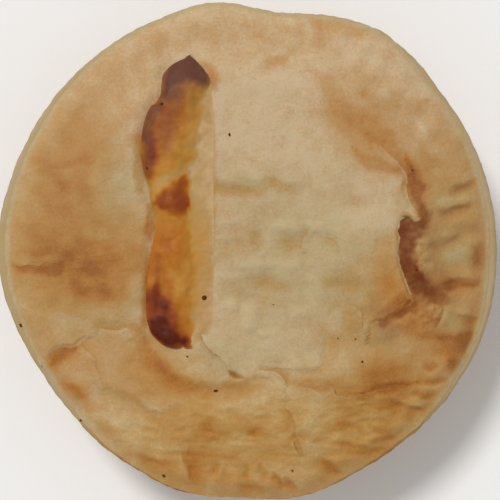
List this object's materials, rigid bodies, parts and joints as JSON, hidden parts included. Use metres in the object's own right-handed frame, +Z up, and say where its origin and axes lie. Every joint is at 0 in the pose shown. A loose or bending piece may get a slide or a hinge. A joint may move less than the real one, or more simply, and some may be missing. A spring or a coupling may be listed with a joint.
{
  "type": "mince and cheese pie",
  "caption": "Round savoury pie: tin-baked pastry case, puffed pastry lid with crimped rim and sunken fold, and a toasted cheese strip set in a slot in the lid.",
  "frame": {"origin": "middle of the flat foot, on the surface that the pie stands on", "axes": "+Z up through the lid; +Y along the cheese strip towards its pointed end; +X towards the sunken side of the lid"},
  "size_m": [0.1103, 0.1096, 0.0371],
  "materials": {
    "case_pastry": "dry short pastry, baked golden against a tin, matte",
    "lid_pastry": "puff pastry, pale cream to toasted brown, satin where glazed",
    "toasted_cheese": "melted cheese, orange with scorched ends, oily sheen"
  },
  "bodies": {
    "root": {"pastry_case": "case_pastry", "pastry_lid": "lid_pastry", "cheese_strip": "toasted_cheese"}
  },
  "joints": []
}
